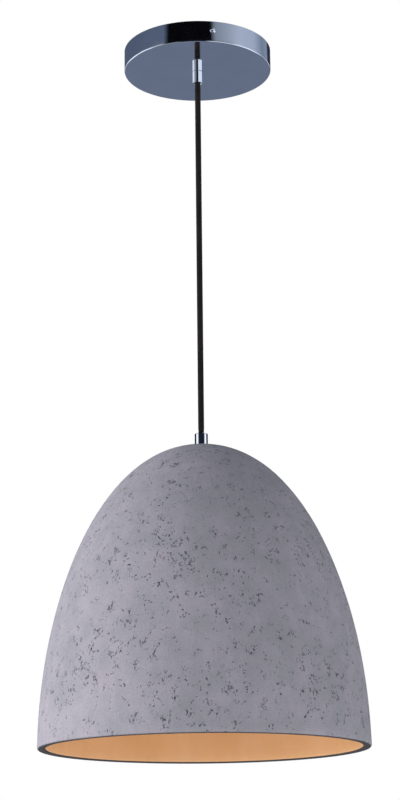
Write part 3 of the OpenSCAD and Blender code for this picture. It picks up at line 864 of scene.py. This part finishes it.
def make_shade():
    section = ShadeSection()
    chance = random.Random(7)
    leaves, near = shade_leaves(section, scatter_pits(section, chance))
    tall, round_ = section.rows * SHADE_SPLIT, SHADE_ROUND * SHADE_SPLIT
    corners = set()
    for i, k, size in leaves:
        for a in (0, size):
            for b in (0, size):
                corners.add(((i + a) % tall, (k + b) % round_))
    index, verts, pit_share, rim_shade_share, ring = {}, [], [], [], {}
    for i, k in sorted(corners):
        if i not in ring:
            row = i / SHADE_SPLIT
            here, after, before = section.at(row), section.at(row + 0.02), section.at(row - 0.02)
            slope = Vector((after[0] - before[0], after[1] - before[1])).normalized()
            ring[i] = (here, (-slope.y, slope.x))
        (r, z), (out_r, out_z) = ring[i]
        row, turn = i / SHADE_SPLIT, k / round_
        side = Vector((math.cos(TURN * turn), math.sin(TURN * turn), 0))
        point = side * r + Vector((0, 0, z))
        depth, share = 0.0, 0.0
        if 1 < row < section.OUTSIDE_ROWS:
            cell = (int(row), int(turn * SHADE_ROUND))
            depth, share = pit_depth(near.get(cell, ()), section, turn, row)
            fade = min(1, row / 6, (section.OUTSIDE_ROWS - row) / 3)
            wave = noise.noise(point * 16) * 0.22 + noise.noise(point * 55) * 0.07
            depth += max(0.0, 0.12 + wave) * fade * MM
        inward = side * -out_r - Vector((0, 0, out_z))
        point = point + inward * -depth if out_r < 0 else point + inward * depth
        index[i, k] = len(verts)
        verts.append(tuple(point))
        pit_share.append(share)
        first, last = section.rim_rows
        # how far a vertex lies on the rim's underside, which gets painted shade
        rim_shade_share.append(max(0.0, min(1.0, (row - first - 0.8) / 1.4, (last - row) / 0.6)))
    by_row, by_turn = {}, {}
    for i, k in corners:
        by_row.setdefault(i, set()).add(k)
        by_turn.setdefault(k, set()).add(i)

    def edge(start, end, fixed, line, along_turn):
        """The vertices from start up to, not including, end along one side of a cell."""
        step = 1 if end > start else -1
        limit = round_ if along_turn else tall
        found = [start]
        if abs(end - start) > 1:
            present = line.get(fixed, ())
            found += [v for v in range(start + step, end, step) if v % limit in present]
        return [index[(fixed, v % limit) if along_turn else (v % limit, fixed)] for v in found]

    faces, zones = [], []
    first, last = section.rim_rows
    for i, k, size in leaves:
        low_i, high_i, low_k, high_k = i, i + size, k, k + size
        face = edge(low_k, high_k, low_i % tall, by_row, True)
        face += edge(low_i, high_i, high_k % round_, by_turn, False)
        face += edge(high_k, low_k, high_i % tall, by_row, True)
        face += edge(high_i, low_i, low_k % round_, by_turn, False)
        faces.append(face)
        row = i / SHADE_SPLIT
        zones.append(1 if last - 1.5 <= row < last + section.INSIDE_ROWS else 0)
    made = piece("cement_shade", verts, faces, "shade_shell", [CEMENT, PAINT], zones, 50, weld=0)
    add_attribute(made, "pit", pit_share)
    add_attribute(made, "rim", rim_shade_share)


make_shade()

# ---- Canopy and its side screws ----


def make_canopy():
    inner_edge = CANOPY_EDGE - CANOPY_WALL
    edge_r, inside_r = CANOPY_R - CANOPY_EDGE, CANOPY_R - CANOPY_WALL
    floor = CANOPY_FOOT + CANOPY_WALL
    hole = 5.2 * MM
    lip = 0.25 * MM
    outline = [(hole, CANOPY_FOOT), (edge_r * 0.5, CANOPY_FOOT)]
    outline += arc(edge_r, CANOPY_FOOT + CANOPY_EDGE, CANOPY_EDGE, -90, 0, 10)
    outline += [(CANOPY_R, CANOPY_FOOT / 2), (CANOPY_R, -lip), (CANOPY_R - lip, 0)]
    chrome_bands = len(outline) - 1
    outline += [(inside_r + lip, 0), (inside_r, -lip), (inside_r, CANOPY_FOOT / 2)]
    outline += arc(inside_r - inner_edge, floor + inner_edge, inner_edge, 0, -90, 4)
    outline += [(hole, floor)]
    made = turned_piece(
        "canopy_cup", outline, "canopy", 288, [CHROME, BARE_STEEL], lambda i: int(i >= chrome_bands), 30
    )
    screw_z = (foot_of("canopy_side_screws") + top_of("canopy_side_screws")) / 2
    reach = CANOPY_R + 2 * MM
    cut(made, rod_tool(2.2 * MM, (0, -reach, screw_z), (0, -inside_r + 3 * MM, screw_z)),
        rod_tool(2.2 * MM, (0, reach, screw_z), (0, inside_r - 3 * MM, screw_z)))


def make_side_screws():
    """Two slotted dome-headed screws with a threaded shank, as one piece."""
    low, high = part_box("canopy_side_screws")
    screw_z = (low.z + high.z) / 2
    head_top = high.y - CANOPY_R
    head_r, shank_r, shank_l = 3.2 * MM, 1.95 * MM, 6 * MM
    dome_r = 3.6 * MM
    outline = [(0, head_top)]
    dome_z = head_top - dome_r
    edge_angle = math.degrees(math.acos(head_r / dome_r))
    outline += arc(0, dome_z, dome_r, 88, edge_angle + 2, 12)
    outline += [(head_r, 0.35 * MM), (head_r - 0.15 * MM, 0.02 * MM), (shank_r, 0)]
    turns = int(shank_l / (0.7 * MM))
    for i in range(turns * 2):
        outline.append((shank_r - (0.22 * MM if i % 2 else 0), -0.35 * MM * (i + 1)))
    outline += [(shank_r - 0.5 * MM, -shank_l), (0, -shank_l)]
    verts, faces = turned(outline, 64)
    parts = [([(x * side, side * (CANOPY_R + h), screw_z + y) for x, y, h in verts], faces) for side in (-1, 1)]
    made = piece("dome_side_screws", *joined(parts), "canopy_side_screws")
    slots = []
    for side in (-1, 1):
        deep, out = CANOPY_R + head_top - 0.95 * MM, CANOPY_R + head_top + 1 * MM
        xs, zs = (-4 * MM, 4 * MM), (screw_z - 0.42 * MM, screw_z + 0.42 * MM)
        box = [(x, side * y, z) for x in xs for y in (deep, out) for z in zs]
        quads = [(0, 1, 3, 2), (4, 6, 7, 5), (0, 4, 5, 1), (2, 3, 7, 6), (0, 2, 6, 4), (1, 5, 7, 3)]
        if side < 0:
            quads = [quad[::-1] for quad in quads]
        slots.append(mesh_object("tool", box, quads))
    cut(made, *slots)


make_canopy()
make_side_screws()

# ---- Cord grips ----


def make_grip(name, node, base, mouth, radius):
    """A turned chrome sleeve, flared at its mouth, relieved at its base and drilled for its grub screw."""
    way = 1 if mouth > base else -1
    bore, flare, relief = CORD_R + 0.35 * MM, CORD_R + 1.15 * MM, 5.05 * MM
    thread_l, flare_l, edge = 7.5 * MM, 1.2 * MM, 0.5 * MM
    length = abs(mouth - base)
    support = edge * 1.4
    outline = [(relief, 0), (radius - edge, 0), (radius, edge), (radius, support), (radius, length - support)]
    outline += [(radius, length - edge), (radius - edge * 0.3, length - edge * 0.3), (radius - edge, length)]
    outline += [(flare, length)]
    outline += [
        (bore + (flare - bore) * (1 - math.sin(t * math.pi / 12)), length - flare_l * t / 6) for t in range(1, 7)
    ]
    outline += [(bore, thread_l), (relief, thread_l)]
    outline = [(r, base + way * h) for r, h in outline]
    made = turned_piece(name, outline, node, 128, [CHROME], None, 30)
    grub_z = mouth - way * 4 * MM
    cut(made, rod_tool(1.5 * MM, (0, CORD_R, grub_z), (0, radius + 2 * MM, grub_z)))


make_grip("canopy_grip_sleeve", "canopy_cord_grip", CANOPY_FOOT, CANOPY_MOUTH, CANOPY_GRIP_R)
make_grip("shade_grip_sleeve", "shade_cord_grip", SHADE_GRIP_FOOT, SHADE_GRIP_TOP, SHADE_GRIP_R)

# ---- Small hardware, rounded at its edges ----

for hardware, bevel in {
    "mounting_strap": 0.3, "earth_screw": 0.2, "earth_terminal": 0.12, "canopy_grip_screw": 0.1,
    "canopy_nipple": 0.15, "canopy_lock_washer": 0.12, "canopy_lock_nut": 0.3, "shade_grip_screw": 0.1,
    "shade_top_gasket": 0.15, "shade_nipple": 0.15, "shade_inner_gasket": 0.3, "shade_clamp_washer": 0.3,
    "shade_lock_nut": 0.3, "lampholder_cap": 0.25, "lampholder_body": 0.25, "lampholder_insulator": 0.3,
    "centre_contact": 0.1, "terminal_screws": 0.15, "bulb_tip_contact": 0.25, "bulb_insulator": 0.2,
}.items():
    refined(hardware, bevel * MM)

# ---- Leads and connectors ----


def smooth_route(points, steps):
    """Catmull-Rom points through a short list of points."""
    points = [Vector(p) for p in points]
    padded = [points[0] * 2 - points[1]] + points + [points[-1] * 2 - points[-2]]
    route = []
    for i in range(len(points) - 1):
        p, q, r, s = padded[i:i + 4]
        for k in range(steps):
            t = k / steps
            route.append(
                0.5 * ((2 * q) + (r - p) * t + (2 * p - 5 * q + 4 * r - s) * t * t
                       + (3 * q - p - 3 * r + s) * t ** 3)
            )
    return route + [points[-1]]


CORE_R = 1.1 * MM
# Routes in mm from the cord's cut end, or the earth terminal, to the connectors
LIVE_ROUTE = [(0.4, 1.3, -13), (0.4, 1.3, -11.5), (1.5, 2, -9.5), (5, 3.5, -8.5), (10, 5.5, -8.8),
              (16, 7.4, -10.5), (22, 8, -11.8), (28, 8, -12)]
LEAD_ROUTES = {
    "live_supply_lead": LIVE_ROUTE,
    "neutral_supply_lead": [(x, -y, z) for x, y, z in LIVE_ROUTE],
    "earth_supply_lead": [(10.5, 20, -4.2), (11.3, 20, -4.2), (13, 20.4, -4.8), (15, 21.5, -6.5),
                          (18, 23.4, -9.5), (22, 24.8, -11.6), (28, 25, -12)],
}


def make_lead(node, route):
    piece(node + "_wire", *ring_mesh([(p, CORE_R) for p in smooth_route(route, 6)], 20), node)


for lead, route_mm in LEAD_ROUTES.items():
    make_lead(lead, [tuple(c * MM for c in p) for p in route_mm])
for lead, side_sign in (("live_lamp_lead", 1), ("neutral_lamp_lead", -1)):
    lead_top, lead_foot = top_of(lead), foot_of(lead)
    start_y, foot_y, lead_straight = 1.3 * MM, 5.6 * MM, 0.8 * MM
    bend_l = lead_top - lead_foot - 2 * lead_straight
    make_lead(
        lead,
        [(0, side_sign * start_y, lead_top)]
        + [(0, side_sign * (start_y + (foot_y - start_y) * (1 - math.cos(math.pi * t / 8)) / 2),
            lead_top - lead_straight - bend_l * t / 8) for t in range(9)]
        + [(0, side_sign * foot_y, lead_foot)],
    )


def make_connectors():
    """Three screw-on wire connectors: ribbed cones, hollow at the mouth."""
    low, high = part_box("wire_connectors")
    mouth_r, tip_r, bore_r, bore_end_r = 6.6 * MM, 4 * MM, 5 * MM, 2.4 * MM
    length, bore_l = high.x - low.x, 14 * MM
    ribs, rib_depth, sides = 12, 0.35 * MM, 96
    steps = 24
    inner = [(low.x + bore_l, 0.001 * MM, False), (low.x + bore_l, bore_end_r, False), (low.x, bore_r, False)]
    rings = []
    for i in range(steps + 1):
        t = i / steps
        rings.append((low.x + length * t, mouth_r + (tip_r - mouth_r) * t, 0.15 < t < 0.93))
    rings[-1] = (rings[-1][0], rings[-1][1] - 0.7 * MM, False)
    rings = inner + rings + [(high.x, 0.001 * MM, False)]
    last = (len(rings) - 1) * sides
    faces = []
    for i in range(len(rings) - 1):
        faces += between(i * sides, (i + 1) * sides, sides)
    faces += [tuple(range(sides)), tuple(range(last, last + sides))]
    parts = []
    for y in (25 * MM, 8 * MM, -8 * MM):
        verts = []
        for x, r, ribbed in rings:
            for k in range(sides):
                a = TURN * k / sides
                dip = rib_depth * (0.5 - 0.5 * math.cos(ribs * a)) if ribbed else 0
                verts.append((x, y + (r - dip) * math.cos(a), -12 * MM + (r - dip) * math.sin(a)))
        parts.append((verts, faces))
    piece("ribbed_connectors", *joined(parts), "wire_connectors")


make_connectors()

# ---- Rolled lamp threads ----


def threaded_shell(name, node, mean, wall):
    """A thin shell with a smooth helical wave on both faces, its ends rolled to the mean radius."""
    low, high = foot_of(node), top_of(node)
    sides = 96
    levels = round((high - low) / THREAD_PITCH * 14)
    fade_l = THREAD_PITCH * 0.35
    verts = []
    for offset in (wall, 0):
        for j in range(levels + 1):
            z = low + (high - low) * j / levels
            fade = min(1, (z - low) / fade_l, (high - z) / fade_l)
            for k in range(sides):
                turn = TURN * k / sides
                r = mean + THREAD_WAVE * fade * math.cos(TURN * z / THREAD_PITCH - turn) + offset
                verts.append((r * math.cos(turn), r * math.sin(turn), z))
    inner = (levels + 1) * sides
    faces = []
    for j in range(levels):
        for quad in between(j * sides, (j + 1) * sides, sides):
            faces += [quad, tuple(inner + v for v in quad)[::-1]]
    for j in (0, levels):
        faces += between(j * sides, inner + j * sides, sides)
    piece(name, verts, faces, node, sharp_degrees=60)


CAP_THREAD_R = 12.72 * MM
threaded_shell("rolled_screw_shell", "screw_shell", CAP_THREAD_R + 0.36 * MM, 0.5 * MM)
threaded_shell("rolled_bulb_cap", "bulb_cap", CAP_THREAD_R - 0.4 * MM, 0.4 * MM)

# ---- Bulb ----


def make_bulb():
    bulb_r = radius_of("bulb_glass")
    centre = foot_of("bulb_glass") + bulb_r
    cap_top, cap_foot = top_of("bulb_cap"), foot_of("bulb_cap")
    skirt_r = CAP_THREAD_R - THREAD_WAVE - 0.55 * MM
    neck_r, neck_z, glass = 13.4 * MM, cap_foot - 1.5 * MM, 0.9 * MM

    def neck(t):
        return neck_r + (bulb_r - neck_r) * (1 - math.cos(math.pi * t)) / 2

    outer = [(skirt_r, cap_top - 3 * MM), (skirt_r, cap_foot - 0.4 * MM), (neck_r, neck_z)]
    outer += [(neck(t / 28), neck_z + (centre - neck_z) * t / 28) for t in range(1, 29)]
    outer += arc(0, centre, bulb_r, -4, -90, 28)
    inner = arc(0, centre, bulb_r - glass, -90, 0, 28)
    inner += [(neck(t / 28) - glass, neck_z + (centre - neck_z) * t / 28) for t in range(27, -1, -1)]
    inner += [(skirt_r - glass, cap_foot - 0.4 * MM), (skirt_r - glass, cap_top - 3 * MM)]
    turned_piece("bulb_envelope", outer + inner, "bulb_glass", 128, sharp_degrees=70)

    # The stem: a flare on the neck, a tube, a narrowing and a glass bead
    stem_top, stem_foot = top_of("bulb_stem"), foot_of("bulb_stem")
    flare = 6 * MM
    stem = [(0, stem_top), (10.7 * MM, stem_top)]
    stem += [
        (2 * MM + 8.7 * MM * (1 - t / 10) ** 2.2, stem_top - flare * t / 10) for t in range(1, 11)
    ]
    stem += [(2 * MM, stem_foot + 3 * MM), (1.5 * MM, stem_foot + 1.6 * MM)]
    stem += arc(0, stem_foot + 1.1 * MM, 1.1 * MM, 30, -90, 8)
    turned_piece("bulb_stem_flare", stem, "bulb_stem", 64, sharp_degrees=60)

    # The filament: two support wires and a fine coil bowed between them
    low = centre + 2 * MM
    parts = []
    for side in (-1, 1):
        support = [(side * 1.3 * MM, 0, stem_foot - 0.2 * MM), (side * 3 * MM, 0, stem_foot - 2.5 * MM),
                   (side * 8 * MM, 0, stem_foot - 5 * MM), (side * 13 * MM, 0, low)]
        parts.append(ring_mesh([(p, 0.3 * MM) for p in smooth_route(support, 8)], 12))
    coil_turns, coil_steps, reach = 34, 12, 13 * MM
    coil = []
    for i in range(coil_turns * coil_steps + 1):
        x = -reach + 2 * reach * i / (coil_turns * coil_steps)
        a = TURN * i / coil_steps
        bow = 0.5 * MM + 0.15 * (reach - abs(x))
        coil.append(((x, 0.36 * MM * math.cos(a), low - bow + 0.36 * MM * math.sin(a)), 0.11 * MM))
    parts.append(ring_mesh(coil, 6))
    piece("filament_coil", *joined(parts), "bulb_filament", sharp_degrees=60)


make_bulb()

# ---- Studio: a white floor, two soft lights and a banded surround for the chrome ----

FLOOR = -1.6


def make_floor():
    """A wide white floor, lit from within like a light table, so that it stays even in every view."""
    reach = 60.0
    corners = [(-reach, -reach, FLOOR), (reach, -reach, FLOOR), (reach, reach, FLOOR), (-reach, reach, FLOOR)]
    s = Shader("pale_floor", Roughness=0.9, Emission_Color=(1, 0.99, 0.985, 1), Emission_Strength=0.72)
    s.colour(s.ramp(s.noise(0.6, 2), (0.3, (0.84, 0.84, 0.85)), (0.7, (0.88, 0.88, 0.885))))
    floor = mesh_object("floor", corners, [(0, 1, 2, 3)], [s.material])
    floor.visible_glossy = False


def soft_light(name, azimuth, height, size, power):
    """A soft box that faces the shade; azimuth is in degrees to the right of the camera."""
    away = 2.4
    light = new_object(name, bpy.data.lights.new(name, "AREA"))
    a = math.radians(azimuth)
    light.location = (TO_CAMERA * math.cos(a) + CAMERA_RIGHT * math.sin(a)) * away + Vector((0, 0, height))
    aim = Vector((0, 0, (RIM + CROWN_FLAT) / 2)) - light.location
    light.rotation_mode = "QUATERNION"
    light.rotation_quaternion = aim.to_track_quat("-Z", "Y")
    light.data.shape = "RECTANGLE"
    light.data.size, light.data.size_y = size
    light.data.energy = power
    light.data.color = (1.0, 0.985, 1.0)
    light.visible_glossy = False
    light.visible_camera = False


def make_world():
    """White to the camera, a soft light all round, and bands of a dark and light studio in reflections."""
    world = bpy.data.worlds.new("studio")
    bpy.context.scene.world = world
    world.use_nodes = True
    nodes = Nodes(world.node_tree)
    nodes.tree.nodes.clear()
    coordinates = nodes.add("ShaderNodeTexCoord").outputs["Generated"]

    def dot(direction):
        node = nodes.add("ShaderNodeVectorMath", operation="DOT_PRODUCT")
        nodes.link(coordinates, node.inputs[0])
        node.inputs[1].default_value = tuple(direction)
        return node.outputs["Value"]

    bearing = nodes.calculate("ARCTAN2", dot(CAMERA_RIGHT), dot(TO_CAMERA))
    turn = nodes.calculate("MULTIPLY_ADD", bearing, 1 / TURN, 0.5)
    lifted = nodes.calculate("MULTIPLY_ADD", dot((0, 0, 1)), 0.5, 0.5)

    def band(*stops):
        """Colours by bearing, in degrees to the right of the camera."""
        return nodes.ramp(turn, *((degrees / 360 + 0.5, colour) for degrees, colour in stops))

    black, pale, white = (0.002, 0.002, 0.003), (0.46, 0.52, 0.66), (1.1, 1.2, 1.35)
    slate = (0.157, 0.192, 0.272)
    high_band = band(
        (-180, (0.04, 0.045, 0.07)), (-162, (0.085, 0.115, 0.18)), (-54, (0.108, 0.142, 0.215)),
        (-46, black), (21, black), (29, (0.26, 0.3, 0.38)), (70, pale),
        (100, (0.41, 0.48, 0.62)), (122, (0.2, 0.26, 0.36)), (141, (0.25, 0.31, 0.42)),
        (146, (0.03, 0.03, 0.06)), (164, (0.03, 0.03, 0.06)), (180, (0.2, 0.24, 0.33)),
    )
    low_band = band(
        (-180, grey(0.02)), (-102, grey(0.02)), (-94, white), (-56, white),
        (-50, (0.02, 0.022, 0.035)), (20, (0.012, 0.013, 0.02)), (56, (0.03, 0.035, 0.05)),
        (62, white), (94, white), (102, grey(0.02)), (180, grey(0.02)),
    )
    below_band = band(
        (-180, slate), (-142, slate), (-134, white), (-80, white),
        (-70, (0.36, 0.39, 0.42)), (-32, (0.34, 0.37, 0.41)), (-24, (0.01, 0.012, 0.022)),
        (12, (0.01, 0.012, 0.022)), (22, white), (108, white), (118, slate),
        (180, slate),
    )
    level_band = band(
        (-180, (0.07, 0.085, 0.12)), (-156, (0.2, 0.24, 0.31)), (-146, white),
        (-104, white), (-96, pale), (-56, (0.27, 0.31, 0.39)), (-44, black),
        (20, black), (34, (0.3, 0.34, 0.42)), (92, pale), (100, white),
        (140, white), (150, (0.2, 0.24, 0.31)), (180, (0.07, 0.085, 0.12)),
    )
    def over(height_sine):
        """A step from 0 to 1 where the sine of the elevation passes a value."""
        level, blur = height_sine / 2 + 0.5, 0.012
        return nodes.ramp(lifted, (level - blur, grey(0)), (level + blur, grey(1)))

    studio = slate
    for height_sine, above in ((-0.6, below_band), (-0.13, level_band), (0.1, low_band), (0.33, high_band)):
        studio = nodes.mix(over(height_sine), studio, above)
    ambient = nodes.ramp(lifted, (0.35, (0.35, 0.33, 0.34)), (0.9, (0.345, 0.375, 0.415)))
    path = nodes.add("ShaderNodeLightPath")
    colour = nodes.mix(path.outputs["Is Glossy Ray"], ambient, studio)
    colour = nodes.mix(path.outputs["Is Camera Ray"], colour, grey(1))
    background = nodes.add("ShaderNodeBackground")
    nodes.link(colour, background.inputs["Color"])
    output = nodes.add("ShaderNodeOutputWorld")
    nodes.link(background.outputs[0], output.inputs["Surface"])


make_floor()
soft_light("key_left", -84, -0.1, (1.6, 2.2), 55)
soft_light("fill_right", 62, -1.25, (1.2, 0.6), 4.6)
make_world()
bpy.context.scene.view_settings.view_transform = "Standard"
